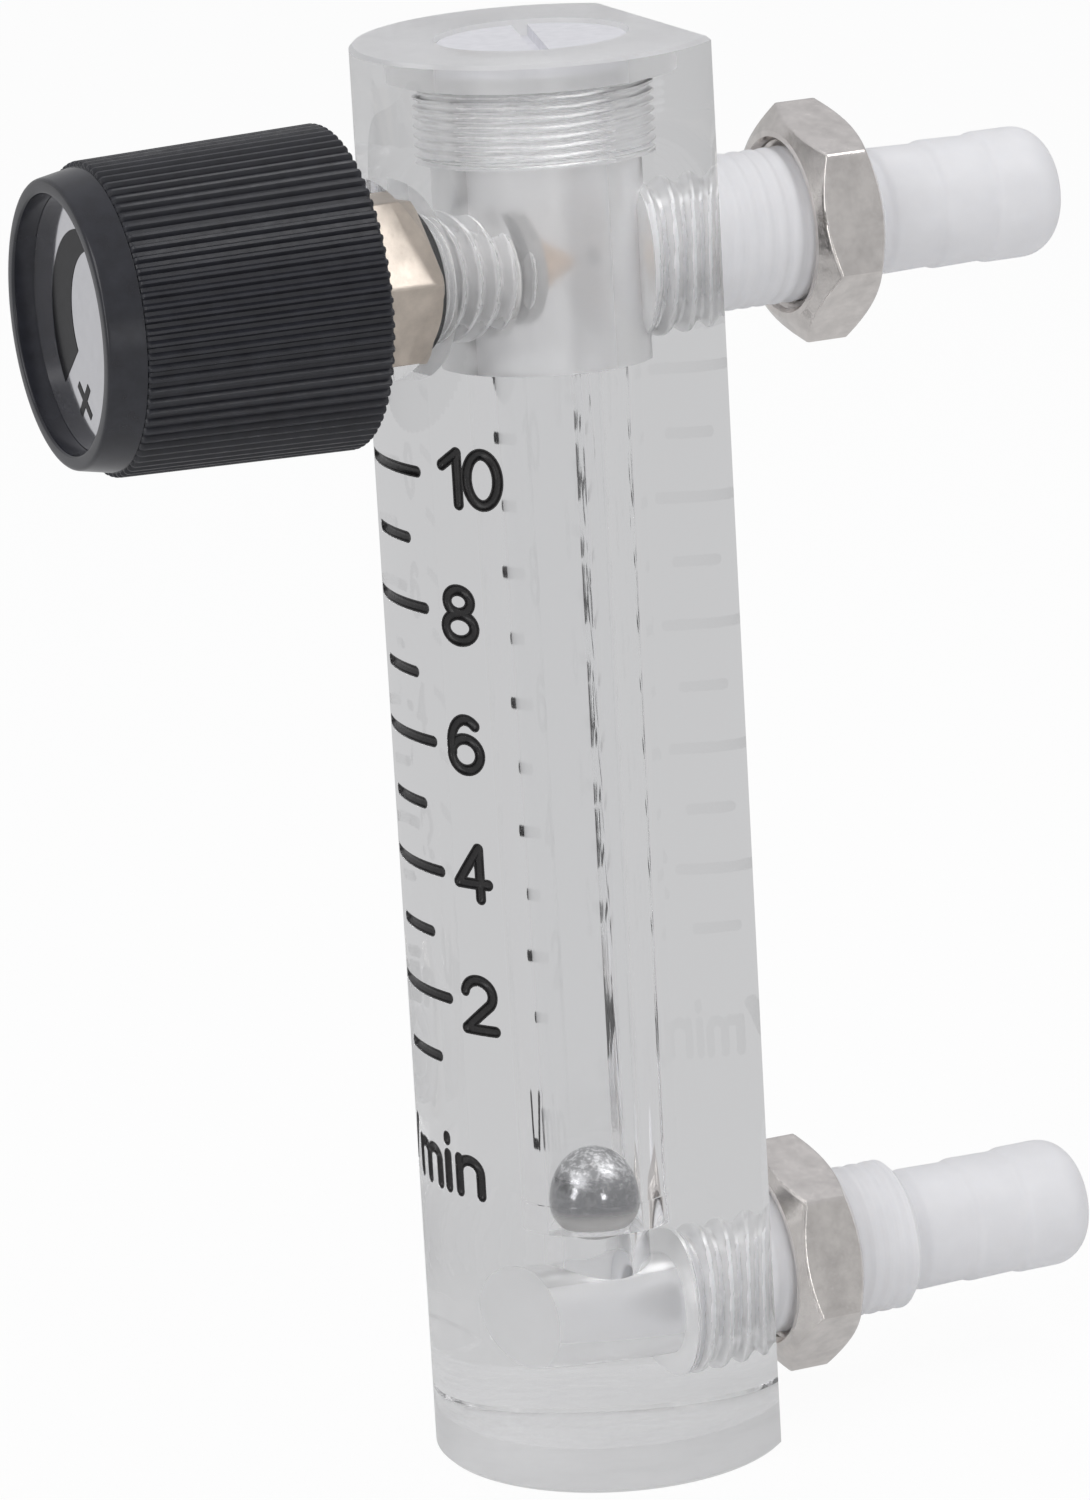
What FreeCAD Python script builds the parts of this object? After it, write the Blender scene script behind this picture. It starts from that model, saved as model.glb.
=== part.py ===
import FreeCAD, Part
import math
import os

# Clear panel flowmeter with a ball float, a needle valve at the top and two hose tails at the back.
# Millimetres. +Z is up the metering bore, the knob is on the -Y side and the hose tails are on the +Y side.
# The origin is on the axis of the round front of the body, in its bottom face.

Vector = FreeCAD.Vector
Y_AXIS = Vector(0, 1, 0)
Z_AXIS = Vector(0, 0, 1)
FULL_TURN = 360.0
QUARTER_TURN = 90.0
HEXAGON_CORNERS = 6

# Body
body_radius = 14.0
back_flat_y = 9.65
body_height = 110.5
plate_thickness = 3.7
edge_break = 0.3
bore_offset = 0.4

# Ports and valve heights
inlet_z = 11.6
valve_below_top = 16.9

# Float and metering bore
ball_diameter = 7.14
ball_clearance = 0.09
bore_growth = 0.4
ledge_below_valve = 7.4
pocket_depth = 2.3
pocket_step = 0.08
seat_hole_diameter = 5.4
seat_height = 6.9
ball_seat_gap = 0.03

# Upper chamber and top plug
chamber_diameter = 10.6
plug_thread_diameter = 12.0
plug_thread_length = 5.6
plug_head_overhang = 1.25
plug_head_thickness = 1.5
plug_seal_thickness = 1.0
plug_recess = 0.35
plug_clearance = 0.05
slot_width = 1.2
slot_depth = 0.9
slot_angle = -16.0
plug_bore_diameter = 6.0
plug_bore_depth = 3.2

# Back fittings
port_thread_diameter = 12.0
port_thread_clearance = 0.05
inlet_hole_y = 3.0
outlet_hole_y = 3.9
port_end_gap = 0.3
cross_bore_diameter = 8.2
cross_bore_reach = 5.0
fitting_length = 37.4
tail_length = 16.0
tail_bore_diameter = 5.0
tail_neck_diameter = 9.2
tail_neck_length = 1.2
tail_rings = 2
tail_ring_diameter = 9.7
tail_ring_growth = 0.2
tail_ring_taper = 0.15
tail_land_diameter = 10.1
tail_land_length = 3.4
tail_nose_radius = 2.5
tail_nose_steps = 6
shank_chamfer = 0.5
nut_across_flats = 16.0
nut_thickness = 5.6
nut_chamfer_ratio = 0.9
hexagon_chamfer_angle = 30.0
outlet_nut_y = 19.0
inlet_nut_y = 13.2
nut_clearance = 0.05
outlet_nut_angle = 42.0
inlet_nut_angle = 43.5

# Needle seat
seat_ring_length = 2.0
seat_ring_setback = 0.15
seat_orifice_diameter = 1.8
seat_clearance = 0.02

# Valve
spotface_depth = 3.6
spotface_clearance = 0.55
valve_thread_diameter = 10.0
valve_thread_clearance = 0.05
bonnet_seal_thickness = 0.6
bonnet_seal_width = 1.1
hex_across_flats = 12.2
hex_length = 6.0
hex_angle = 4.0
hex_front_ratio = 0.96
hex_back_ratio = 1.1
bonnet_thread_length = 7.35
stem_thread_diameter = 6.0
stem_thread_clearance = 0.04
stem_thread_length = 9.5
stem_neck_diameter = 5.4
gland_diameter = 6.7
gland_length = 6.0
seal_clearance = 0.03
seal_groove_diameter = 3.8
seal_groove_clearance = 0.055
seal_groove_from_end = 4.4
flange_diameter = 8.4
flange_thickness = 1.0
flange_gap = 0.8
needle_base_diameter = 5.4
needle_tip_diameter = 0.8
needle_length = 4.0
spindle_diameter = 5.0
spindle_length = 13.5

# Knob
knob_gap = 0.4
grip_taper = 0.5
grip_step = 0.4
knurl_length = 19.0
flute_count = 80
flute_depth = 0.32
flute_land_share = 0.42
flute_floor_share = 0.2
knob_back_chamfer = 0.35
bezel_length = 2.8
bezel_taper = 0.55
bezel_lip = 1.15
dial_diameter = 19.2
dial_thickness = 0.6
dial_depth = 1.7
dial_clearance = 0.05
knob_wall = 2.4
knob_hollow_depth = 6.6
hub_wall = 1.2
hub_setback = 3.2
insert_diameter = 7.6
insert_clearance = 0.02
screw_diameter = 3.0
screw_length = 8.0
screw_head_diameter = 5.5
screw_head_height = 1.8
screw_drive_width = 0.7
screw_drive_depth = 0.9
screw_clearance = 0.05
screw_hole_spare = 1.0
screw_pocket_diameter = 6.4

# Scale ticks, engraved round the front and filled with ink
scale_above_pocket = 13.0
scale_below_ledge = 6.5
scale_opening = 0.019
tick_count = 10
tick_width = 0.9
tick_depth = 0.3
tick_ink_setback = 0.05
long_tick_half_angle = 19.0
short_tick_half_angle = 12.0

# Places worked out from the sizes above
outlet_z = body_height - valve_below_top
bore_y = -bore_offset
ball_radius = ball_diameter / 2
bore_bottom_radius = ball_radius + ball_clearance
bore_top_radius = bore_bottom_radius + bore_growth
pocket_radius = bore_bottom_radius + pocket_step
seat_z = inlet_z + seat_height
pocket_top_z = seat_z + pocket_depth
ledge_z = outlet_z - ledge_below_valve
tick_first_z = pocket_top_z + scale_above_pocket
tick_steps = tick_count - 1
scale_length = ledge_z - scale_below_ledge - tick_first_z
tick_spacing = scale_length / tick_steps - scale_opening * tick_steps
seat_hole_radius = seat_hole_diameter / 2
ball_z = seat_z + math.sqrt(ball_radius ** 2 - seat_hole_radius ** 2) + ball_seat_gap
plug_head_diameter = plug_thread_diameter + 2 * plug_head_overhang
plug_head_top_z = body_height - plug_recess
plug_head_bottom_z = plug_head_top_z - plug_head_thickness
counterbore_z = plug_head_bottom_z - plug_seal_thickness
plug_end_z = counterbore_z - plug_thread_length
plug_hole_end_z = plug_end_z - plug_clearance
port_hole_radius = port_thread_diameter / 2
shank_radius = port_hole_radius - port_thread_clearance
outlet_end_y = outlet_hole_y + port_end_gap
inlet_end_y = inlet_hole_y + port_end_gap
valve_hole_radius = valve_thread_diameter / 2
bonnet_shank_radius = valve_hole_radius - valve_thread_clearance
spotface_y = spotface_depth - body_radius
hex_back_y = spotface_y - bonnet_seal_thickness
hex_front_y = hex_back_y - hex_length
bonnet_end_y = hex_back_y + bonnet_thread_length
flange_front_y = bonnet_end_y + flange_gap
flange_back_y = flange_front_y + flange_thickness
needle_tip_y = flange_back_y + needle_length
seal_groove_y = bonnet_end_y - seal_groove_from_end
seal_inner_radius = seal_groove_diameter / 2 + seal_clearance
seal_outer_radius = gland_diameter / 2 - seal_clearance
seal_section_radius = (seal_outer_radius - seal_inner_radius) / 2
seal_groove_half_width = seal_section_radius + seal_groove_clearance
stem_thread_end_y = bonnet_end_y - gland_length
stem_thread_start_y = stem_thread_end_y - stem_thread_length
spindle_end_y = stem_thread_start_y - spindle_length
knob_back_y = hex_front_y - knob_gap
bezel_back_y = knob_back_y - knurl_length
bezel_front_radius = dial_diameter / 2 + bezel_lip
bezel_back_radius = bezel_front_radius + bezel_taper
knob_front_radius = bezel_back_radius + grip_step
knob_back_radius = knob_front_radius + grip_taper
bezel_front_y = bezel_back_y - bezel_length
dial_front_y = bezel_front_y + dial_depth
dial_back_y = dial_front_y + dial_thickness
hollow_floor_y = knob_back_y - knob_hollow_depth
hub_back_y = hex_front_y - hub_setback - knob_gap
screw_head_front_y = spindle_end_y - screw_head_height


def cylinder_z(radius, low, high, y=0.0):
    return Part.makeCylinder(radius, high - low, Vector(0, y, low), Z_AXIS)


def cylinder_y(radius, front, back, z):
    return Part.makeCylinder(radius, back - front, Vector(0, front, z), Y_AXIS)


def turned_y(profile, z):
    """Solid of revolution about the line along Y at height z. The profile is a list of (y, radius)."""
    points = [Vector(radius, y, z) for y, radius in profile]
    face = Part.Face(Part.makePolygon(points + [points[0]]))
    return face.revolve(Vector(0, 0, z), Y_AXIS, FULL_TURN)


def turned_z(profile, y=0.0):
    """Solid of revolution about the line along Z at depth y. The profile is a list of (radius, z)."""
    points = [Vector(radius, y, z) for radius, z in profile]
    face = Part.Face(Part.makePolygon(points + [points[0]]))
    return face.revolve(Vector(0, y, 0), Z_AXIS, FULL_TURN)


def d_section(low, high):
    """The round bar with its flat back, between two heights."""
    bar = cylinder_z(body_radius, low, high)
    waste = Part.makeBox(
        2 * body_radius,
        body_radius,
        high - low,
        Vector(-body_radius, back_flat_y, low),
    )
    return bar.cut(waste)


def break_edges_at(solid, z):
    """A small chamfer round the end face at height z."""
    edges = [
        edge
        for edge in solid.Edges
        if all(abs(vertex.Point.z - z) < edge_break / 10 for vertex in edge.Vertexes)
    ]
    return solid.makeChamfer(edge_break, edges)


def hexagon_corner_radius(across_flats):
    """Distance from the middle of a hexagon to its corners."""
    return across_flats / 2 / math.cos(math.pi / HEXAGON_CORNERS)


def hexagon_y(across_flats, front, back, z, angle):
    """Hexagonal bar along Y. The angle is that of one corner, from +X towards +Z."""
    corner_radius = hexagon_corner_radius(across_flats)
    corners = []
    for step in range(HEXAGON_CORNERS):
        turn = math.radians(angle + step * FULL_TURN / HEXAGON_CORNERS)
        corners.append(Vector(corner_radius * math.cos(turn), front, z + corner_radius * math.sin(turn)))
    face = Part.Face(Part.makePolygon(corners + [corners[0]]))
    return face.extrude(Vector(0, back - front, 0))


def chamfered_hexagon(across_flats, front, back, z, angle, front_ratio, back_ratio):
    """Hexagon with the corners of both ends turned down, as nuts are.

    Each ratio is that of the flat ring left on one end to the width across flats.
    """
    corner_radius = hexagon_corner_radius(across_flats)
    front_radius = front_ratio * across_flats / 2
    back_radius = back_ratio * across_flats / 2
    rise = math.tan(math.radians(hexagon_chamfer_angle))
    envelope = turned_y(
        [
            (front, 0),
            (front, front_radius),
            (front + (corner_radius - front_radius) * rise, corner_radius),
            (back - (corner_radius - back_radius) * rise, corner_radius),
            (back, back_radius),
            (back, 0),
        ],
        z,
    )
    return hexagon_y(across_flats, front, back, z, angle).common(envelope)


def tick_height(index):
    """Height of a tick. The scale opens out a little towards the top."""
    return tick_first_z + index * tick_spacing + index ** 2 * scale_opening


def tick_sector(index, inner_radius, outer_radius):
    """Part of a ring round the front of the body, as long as the tick with this index."""
    is_long = index % 2 == 1
    half_angle = long_tick_half_angle if is_long else short_tick_half_angle
    low = tick_height(index) - tick_width / 2
    start = Vector(0, 0, low)
    sector = Part.makeCylinder(outer_radius, tick_width, start, Z_AXIS, 2 * half_angle)
    core = Part.makeCylinder(inner_radius, tick_width, start, Z_AXIS)
    ring = sector.cut(core)
    ring.rotate(Vector(0, 0, 0), Z_AXIS, -QUARTER_TURN - half_angle)
    return ring


def metering_bore():
    """Tapered bore for the float, with the straight pocket in which the ball rests."""
    return turned_z(
        [
            (0, seat_z),
            (pocket_radius, seat_z),
            (pocket_radius, pocket_top_z),
            (bore_bottom_radius, pocket_top_z),
            (bore_top_radius, ledge_z),
            (0, ledge_z),
        ],
        bore_y,
    )


def upper_bores():
    """Chamber over the metering bore, the plug's thread and the counterbore for its head."""
    thread_radius = plug_thread_diameter / 2
    head_radius = plug_head_diameter / 2 + plug_clearance
    chamber = cylinder_z(chamber_diameter / 2, ledge_z, plug_hole_end_z, bore_y)
    thread_hole = cylinder_z(thread_radius, plug_hole_end_z, counterbore_z, bore_y)
    counterbore = cylinder_z(head_radius, counterbore_z, body_height, bore_y)
    return [chamber, thread_hole, counterbore]


def port_holes():
    """Tapped holes from the flat back, the cross bore to the seat and the seat hole."""
    inlet_hole = cylinder_y(port_hole_radius, inlet_hole_y, back_flat_y, inlet_z)
    outlet_hole = cylinder_y(port_hole_radius, outlet_hole_y, back_flat_y, outlet_z)
    cross_bore = cylinder_y(cross_bore_diameter / 2, -cross_bore_reach, inlet_hole_y, inlet_z)
    seat_hole = cylinder_z(seat_hole_radius, inlet_z, seat_z, bore_y)
    return [inlet_hole, outlet_hole, cross_bore, seat_hole]


def valve_holes():
    """Flat seat for the valve's hexagon and the tapped hole behind it, into the chamber."""
    spotface_radius = hexagon_corner_radius(hex_across_flats) + spotface_clearance
    spotface = cylinder_y(spotface_radius, -body_radius, spotface_y, outlet_z)
    thread_hole = cylinder_y(valve_hole_radius, spotface_y, bore_y, outlet_z)
    return [spotface, thread_hole]


def meter_body():
    body = break_edges_at(d_section(plate_thickness, body_height), body_height)
    body = body.cut([metering_bore()] + upper_bores() + port_holes() + valve_holes())
    grooves = [
        tick_sector(index, body_radius - tick_depth, body_radius + tick_depth)
        for index in range(tick_count)
    ]
    return body.cut(grooves)


def bottom_plate():
    return break_edges_at(d_section(0, plate_thickness), 0)


def scale_marks():
    ink_radius = body_radius - tick_ink_setback
    marks = [
        tick_sector(index, body_radius - tick_depth, ink_radius)
        for index in range(tick_count)
    ]
    return Part.makeCompound(marks)


def top_plug():
    thread_radius = plug_thread_diameter / 2 - plug_clearance
    head_radius = plug_head_diameter / 2
    plug = turned_z(
        [
            (0, plug_end_z),
            (thread_radius - edge_break, plug_end_z),
            (thread_radius, plug_end_z + edge_break),
            (thread_radius, plug_head_bottom_z),
            (head_radius, plug_head_bottom_z),
            (head_radius, plug_head_top_z),
            (0, plug_head_top_z),
        ],
        bore_y,
    )
    slot = Part.makeBox(
        plug_head_diameter,
        slot_width,
        slot_depth,
        Vector(-head_radius, bore_y - slot_width / 2, plug_head_top_z - slot_depth),
    )
    slot.rotate(Vector(0, bore_y, 0), Z_AXIS, slot_angle)
    hollow = cylinder_z(plug_bore_diameter / 2, plug_end_z, plug_end_z + plug_bore_depth, bore_y)
    return plug.cut([slot, hollow])


def plug_seal():
    """Flat ring seal under the plug's head, round its thread."""
    outer = plug_head_diameter / 2 - plug_clearance
    inner = plug_thread_diameter / 2 + plug_clearance
    ring = cylinder_z(outer, counterbore_z, plug_head_bottom_z, bore_y)
    hole = cylinder_z(inner, counterbore_z, plug_head_bottom_z, bore_y)
    return ring.cut(hole)


def float_ball():
    return Part.makeSphere(ball_radius, Vector(0, bore_y, ball_z))


def hose_fitting(end_y, z):
    """Threaded shank with a ringed hose tail and a bore right through."""
    shank_end = end_y + fitting_length - tail_length
    tip = end_y + fitting_length
    land_radius = tail_land_diameter / 2
    land_start = tip - tail_nose_radius - tail_land_length
    ring_start = shank_end + tail_neck_length
    ring_pitch = (land_start - ring_start) / tail_rings
    profile = [
        (end_y, 0),
        (end_y, shank_radius - shank_chamfer),
        (end_y + shank_chamfer, shank_radius),
        (shank_end - shank_chamfer, shank_radius),
        (shank_end, shank_radius - shank_chamfer),
        (shank_end, tail_neck_diameter / 2),
        (ring_start, tail_neck_diameter / 2),
    ]
    for ring in range(tail_rings):
        edge = ring_start + ring * ring_pitch
        edge_radius = (tail_ring_diameter + ring * tail_ring_growth) / 2
        profile.append((edge, edge_radius))
        profile.append((edge + ring_pitch, edge_radius - tail_ring_taper))
    profile.append((land_start, land_radius))
    for step in range(tail_nose_steps + 1):
        turn = math.radians(QUARTER_TURN * step / tail_nose_steps)
        along = tip - tail_nose_radius + tail_nose_radius * math.sin(turn)
        profile.append((along, land_radius - tail_nose_radius * (1 - math.cos(turn))))
    profile.append((tip, 0))
    blank = turned_y(profile, z)
    bore = cylinder_y(tail_bore_diameter / 2, end_y, tip, z)
    return blank.cut(bore)


def back_nut(front, z, angle):
    back = front + nut_thickness
    nut = chamfered_hexagon(
        nut_across_flats, front, back, z, angle, nut_chamfer_ratio, nut_chamfer_ratio
    )
    return nut.cut(cylinder_y(shank_radius + nut_clearance, front, back, z))


def needle_seat():
    """Ring pressed into the outlet fitting's bore, with the orifice that the needle closes."""
    outer = tail_bore_diameter / 2 - seat_clearance
    front = outlet_end_y + seat_ring_setback
    back = front + seat_ring_length
    ring = cylinder_y(outer, front, back, outlet_z)
    return ring.cut(cylinder_y(seat_orifice_diameter / 2, front, back, outlet_z))


def valve_bonnet():
    hexagon = chamfered_hexagon(
        hex_across_flats, hex_front_y, hex_back_y, outlet_z, hex_angle, hex_front_ratio, hex_back_ratio
    )
    shank = turned_y(
        [
            (hex_back_y - edge_break, 0),
            (hex_back_y - edge_break, bonnet_shank_radius),
            (bonnet_end_y - edge_break, bonnet_shank_radius),
            (bonnet_end_y, bonnet_shank_radius - edge_break),
            (bonnet_end_y, 0),
        ],
        outlet_z,
    )
    thread_bore = cylinder_y(
        stem_thread_diameter / 2 + stem_thread_clearance, hex_front_y, stem_thread_end_y, outlet_z
    )
    gland = cylinder_y(gland_diameter / 2, stem_thread_end_y, bonnet_end_y, outlet_z)
    return hexagon.fuse(shank).cut([thread_bore, gland])


def bonnet_seal():
    """Flat ring seal squeezed between the hexagon and the body."""
    inner = bonnet_shank_radius + seal_clearance
    outer = inner + bonnet_seal_width
    ring = cylinder_y(outer, hex_back_y, spotface_y, outlet_z)
    hole = cylinder_y(inner, hex_back_y, spotface_y, outlet_z)
    return ring.cut(hole)


def valve_stem():
    """Spindle, thread, seal groove, stop flange and needle, turned in one piece."""
    groove_front = seal_groove_y - seal_groove_half_width
    groove_back = seal_groove_y + seal_groove_half_width
    spindle_radius = spindle_diameter / 2
    thread_radius = stem_thread_diameter / 2
    neck_radius = stem_neck_diameter / 2
    groove_radius = seal_groove_diameter / 2
    stem = turned_y(
        [
            (spindle_end_y, 0),
            (spindle_end_y, spindle_radius),
            (stem_thread_start_y, spindle_radius),
            (stem_thread_start_y + edge_break, thread_radius),
            (stem_thread_end_y, thread_radius),
            (stem_thread_end_y, neck_radius),
            (groove_front, neck_radius),
            (groove_front, groove_radius),
            (groove_back, groove_radius),
            (groove_back, neck_radius),
            (flange_front_y, neck_radius),
            (flange_front_y, flange_diameter / 2),
            (flange_back_y, flange_diameter / 2),
            (flange_back_y, needle_base_diameter / 2),
            (needle_tip_y, needle_tip_diameter / 2),
            (needle_tip_y, 0),
        ],
        outlet_z,
    )
    screw_hole_radius = screw_diameter / 2 + screw_clearance
    screw_hole_end_y = spindle_end_y + screw_length + screw_hole_spare
    screw_hole = cylinder_y(screw_hole_radius, spindle_end_y, screw_hole_end_y, outlet_z)
    return stem.cut(screw_hole)


def stem_seal():
    """Ring seal in the stem's groove, sliding in the bonnet."""
    ring_radius = (seal_outer_radius + seal_inner_radius) / 2
    centre = Vector(0, seal_groove_y, outlet_z)
    return Part.makeTorus(ring_radius, seal_section_radius, centre, Y_AXIS)


def flute_outline(radius, y):
    """Closed outline of the fluted grip at one end: a land, a slope, a floor and a slope for each flute."""
    pitch = 2 * math.pi / flute_count
    slope_share = (1 - flute_land_share - flute_floor_share) / 2
    points = []
    for flute in range(flute_count):
        start = flute * pitch
        shares = [
            (0, radius),
            (flute_land_share, radius),
            (flute_land_share + slope_share, radius - flute_depth),
            (1 - slope_share, radius - flute_depth),
        ]
        for share, point_radius in shares:
            turn = start + share * pitch
            points.append(Vector(point_radius * math.cos(turn), y, outlet_z + point_radius * math.sin(turn)))
    return Part.makePolygon(points + [points[0]])


def knob():
    """Tapered fluted grip with a smooth bezel, a dial recess in front and a hollow back round a hub."""
    grip = Part.makeLoft(
        [flute_outline(knob_back_radius, knob_back_y), flute_outline(knob_front_radius, bezel_back_y)],
        True,
        True,
    )
    envelope = turned_y(
        [
            (knob_back_y, 0),
            (knob_back_y, knob_back_radius - knob_back_chamfer),
            (knob_back_y - knob_back_chamfer, knob_back_radius),
            (bezel_back_y + edge_break, knob_back_radius),
            (bezel_back_y, knob_front_radius - edge_break),
            (bezel_back_y, 0),
        ],
        outlet_z,
    )
    bezel = turned_y(
        [
            (bezel_back_y + edge_break, 0),
            (bezel_back_y + edge_break, bezel_back_radius),
            (bezel_back_y, bezel_back_radius),
            (bezel_front_y + edge_break, bezel_front_radius + edge_break),
            (bezel_front_y, bezel_front_radius),
            (bezel_front_y, 0),
        ],
        outlet_z,
    )
    dial_recess_radius = dial_diameter / 2 + dial_clearance
    dial_recess = cylinder_y(dial_recess_radius, bezel_front_y, dial_back_y, outlet_z)
    screw_pocket = cylinder_y(screw_pocket_diameter / 2, dial_back_y, spindle_end_y, outlet_z)
    insert_bore = cylinder_y(insert_diameter / 2, spindle_end_y, hub_back_y, outlet_z)
    hollow = cylinder_y(knob_back_radius - knob_wall, hollow_floor_y, knob_back_y, outlet_z)
    hub = cylinder_y(insert_diameter / 2 + hub_wall, hollow_floor_y, hub_back_y, outlet_z)
    return grip.common(envelope).fuse(bezel).cut([dial_recess, screw_pocket, insert_bore, hollow.cut(hub)])


def knob_insert():
    """Bush in the knob's hub that holds the spindle."""
    bush = cylinder_y(insert_diameter / 2 - insert_clearance, spindle_end_y, hub_back_y, outlet_z)
    bore = cylinder_y(spindle_diameter / 2 + insert_clearance, spindle_end_y, hub_back_y, outlet_z)
    return bush.cut(bore)


def knob_screw():
    """Slotted screw through the hub into the end of the spindle."""
    head = cylinder_y(screw_head_diameter / 2, screw_head_front_y, spindle_end_y, outlet_z)
    thread = cylinder_y(screw_diameter / 2, spindle_end_y, spindle_end_y + screw_length, outlet_z)
    drive = Part.makeBox(
        screw_head_diameter,
        screw_drive_depth,
        screw_drive_width,
        Vector(-screw_head_diameter / 2, screw_head_front_y, outlet_z - screw_drive_width / 2),
    )
    return head.fuse(thread).cut(drive)


def knob_dial():
    return cylinder_y(dial_diameter / 2, dial_front_y, dial_back_y, outlet_z)


nodes = {
    "meter_body": meter_body(),
    "bottom_plate": bottom_plate(),
    "scale_marks": scale_marks(),
    "top_plug": top_plug(),
    "plug_seal": plug_seal(),
    "float_ball": float_ball(),
    "outlet_fitting": hose_fitting(outlet_end_y, outlet_z),
    "inlet_fitting": hose_fitting(inlet_end_y, inlet_z),
    "outlet_nut": back_nut(outlet_nut_y, outlet_z, outlet_nut_angle),
    "inlet_nut": back_nut(inlet_nut_y, inlet_z, inlet_nut_angle),
    "needle_seat": needle_seat(),
    "valve_bonnet": valve_bonnet(),
    "bonnet_seal": bonnet_seal(),
    "valve_stem": valve_stem(),
    "stem_seal": stem_seal(),
    "knob": knob(),
    "knob_insert": knob_insert(),
    "knob_screw": knob_screw(),
    "knob_dial": knob_dial(),
}

os.makedirs("parts", exist_ok=True)
for name, shape in nodes.items():
    shape.exportStep("parts/" + name + ".step")
    box = shape.BoundBox
    print(
        name,
        "valid", shape.isValid(),
        "solids", len(shape.Solids),
        "volume", round(shape.Volume, 1),
        "y", round(box.YMin, 2), round(box.YMax, 2),
        "z", round(box.ZMin, 2), round(box.ZMax, 2),
    )
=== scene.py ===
import math

import bmesh
import bpy
import numpy as np
from mathutils import Matrix, Vector


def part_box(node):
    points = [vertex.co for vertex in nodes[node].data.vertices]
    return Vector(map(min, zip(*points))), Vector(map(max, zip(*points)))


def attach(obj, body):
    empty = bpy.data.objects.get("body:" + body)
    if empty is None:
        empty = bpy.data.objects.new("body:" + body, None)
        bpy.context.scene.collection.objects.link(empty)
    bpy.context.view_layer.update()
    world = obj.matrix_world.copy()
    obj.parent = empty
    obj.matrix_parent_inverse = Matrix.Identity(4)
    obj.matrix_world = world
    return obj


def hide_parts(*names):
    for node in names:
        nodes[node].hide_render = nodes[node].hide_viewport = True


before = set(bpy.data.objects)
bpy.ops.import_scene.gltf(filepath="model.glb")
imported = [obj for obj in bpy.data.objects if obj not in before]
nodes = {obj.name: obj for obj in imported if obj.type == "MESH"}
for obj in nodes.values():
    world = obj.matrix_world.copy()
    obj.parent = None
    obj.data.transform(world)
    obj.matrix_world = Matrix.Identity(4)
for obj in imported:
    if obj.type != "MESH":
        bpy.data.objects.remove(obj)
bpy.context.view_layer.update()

# Clear panel flowmeter. All sizes are in millimetres and are turned into metres when a mesh is made.
# +Z is up the metering bore, the knob is on the -Y side, the hose tails are on the +Y side.

MM = 0.001


def low_high(node):
    """Lowest and highest corner of a node of the frame, in millimetres."""
    low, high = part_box(node)
    return low / MM, high / MM


# Places read from the frame
body_high = low_high("meter_body")[1]
plate_low, plate_high = low_high("bottom_plate")
ball_low, ball_high = low_high("float_ball")
plug_low, plug_high = low_high("top_plug")
outlet_low, outlet_high = low_high("outlet_fitting")
inlet_low, inlet_high = low_high("inlet_fitting")
bonnet_low, bonnet_high = low_high("valve_bonnet")
stem_low, stem_high = low_high("valve_stem")
knob_low, knob_high = low_high("knob")
insert_back = low_high("knob_insert")[1].y
dial_low, dial_high = low_high("knob_dial")
marks_low, marks_high = low_high("scale_marks")
body_radius = body_high.x
flat_y = body_high.y
top_z = body_high.z
joint_z = plate_high.z
outlet_z = (outlet_low.z + outlet_high.z) / 2
inlet_z = (inlet_low.z + inlet_high.z) / 2
bore_y = (ball_low.y + ball_high.y) / 2
ball_radius = (ball_high.z - ball_low.z) / 2
ball_z = (ball_high.z + ball_low.z) / 2

# Sizes inside the clear body
seat_z = 18.5
pocket_top_z = 20.8
pocket_radius = 3.74
bore_bottom_radius = 3.66
bore_top_radius = 4.06
ledge_z = 86.2
seat_hole_radius = 2.7
chamber_radius = 5.3
cross_bore_radius = 4.1
cross_bore_front_y = -5.0
inlet_hole_y = 3.0
outlet_hole_y = 3.9
spotface_y = -10.4
spotface_radius = 7.594
plug_thread_radius = 6.0
plug_head_radius = (plug_high.x - plug_low.x) / 2
plug_head_thickness = 1.5
counterbore_z = low_high("plug_seal")[0].z
shank_radius = (outlet_high.x - outlet_low.x) / 2
valve_shank_radius = 4.95
needle_length = 4.0
air_gap = 0.05
edge_break = 0.3
glue = 0.004

# Threads: pitch and depth
port_pitch = 1.25
port_thread_depth = 0.62
scallop_depth = 0.09
valve_pitch = 1.25
valve_thread_depth = 0.6
plug_pitch = 0.72
plug_thread_depth = 0.3

# The camera, as fitted to the photograph
camera_position = Vector((477.5736, -202.3924, 195.0827))
camera_azimuth = math.radians(67.845)
camera_elevation = math.radians(14.713)
camera_roll = math.radians(-3.439)
focal_pixels = 7030.76
photo_width = 1090
photo_height = 1500
centre_pixel = (477.62, 709.14)
sensor = 36.0


# Meshes

def new_object(name, points, faces, material=None, sharp_angle=32.0):
    """Mesh object from points in millimetres, with outward normals and smooth shading."""
    mesh = bpy.data.meshes.new(name)
    mesh.from_pydata([tuple(p) for p in np.asarray(points) * MM], [], [tuple(f) for f in faces])
    work = bmesh.new()
    work.from_mesh(mesh)
    bmesh.ops.recalc_face_normals(work, faces=work.faces)
    work.to_mesh(mesh)
    work.free()
    obj = bpy.data.objects.new(name, mesh)
    bpy.context.scene.collection.objects.link(obj)
    if material:
        mesh.materials.append(material)
    shade(obj, sharp_angle)
    return obj


def shade(obj, sharp_angle=32.0):
    """Smooth faces, with the edges over the angle marked sharp."""
    work = bmesh.new()
    work.from_mesh(obj.data)
    limit = math.radians(sharp_angle)
    for face in work.faces:
        face.smooth = True
    for edge in work.edges:
        edge.smooth = edge.is_manifold and edge.calc_face_angle(0.0) < limit
    work.to_mesh(obj.data)
    work.free()


def along_z(y):
    """Maps (along, across, up) of a turned shape to a vertical axis at depth y."""
    return lambda a, c, s: np.stack([c, y + s, a], -1)


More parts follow.
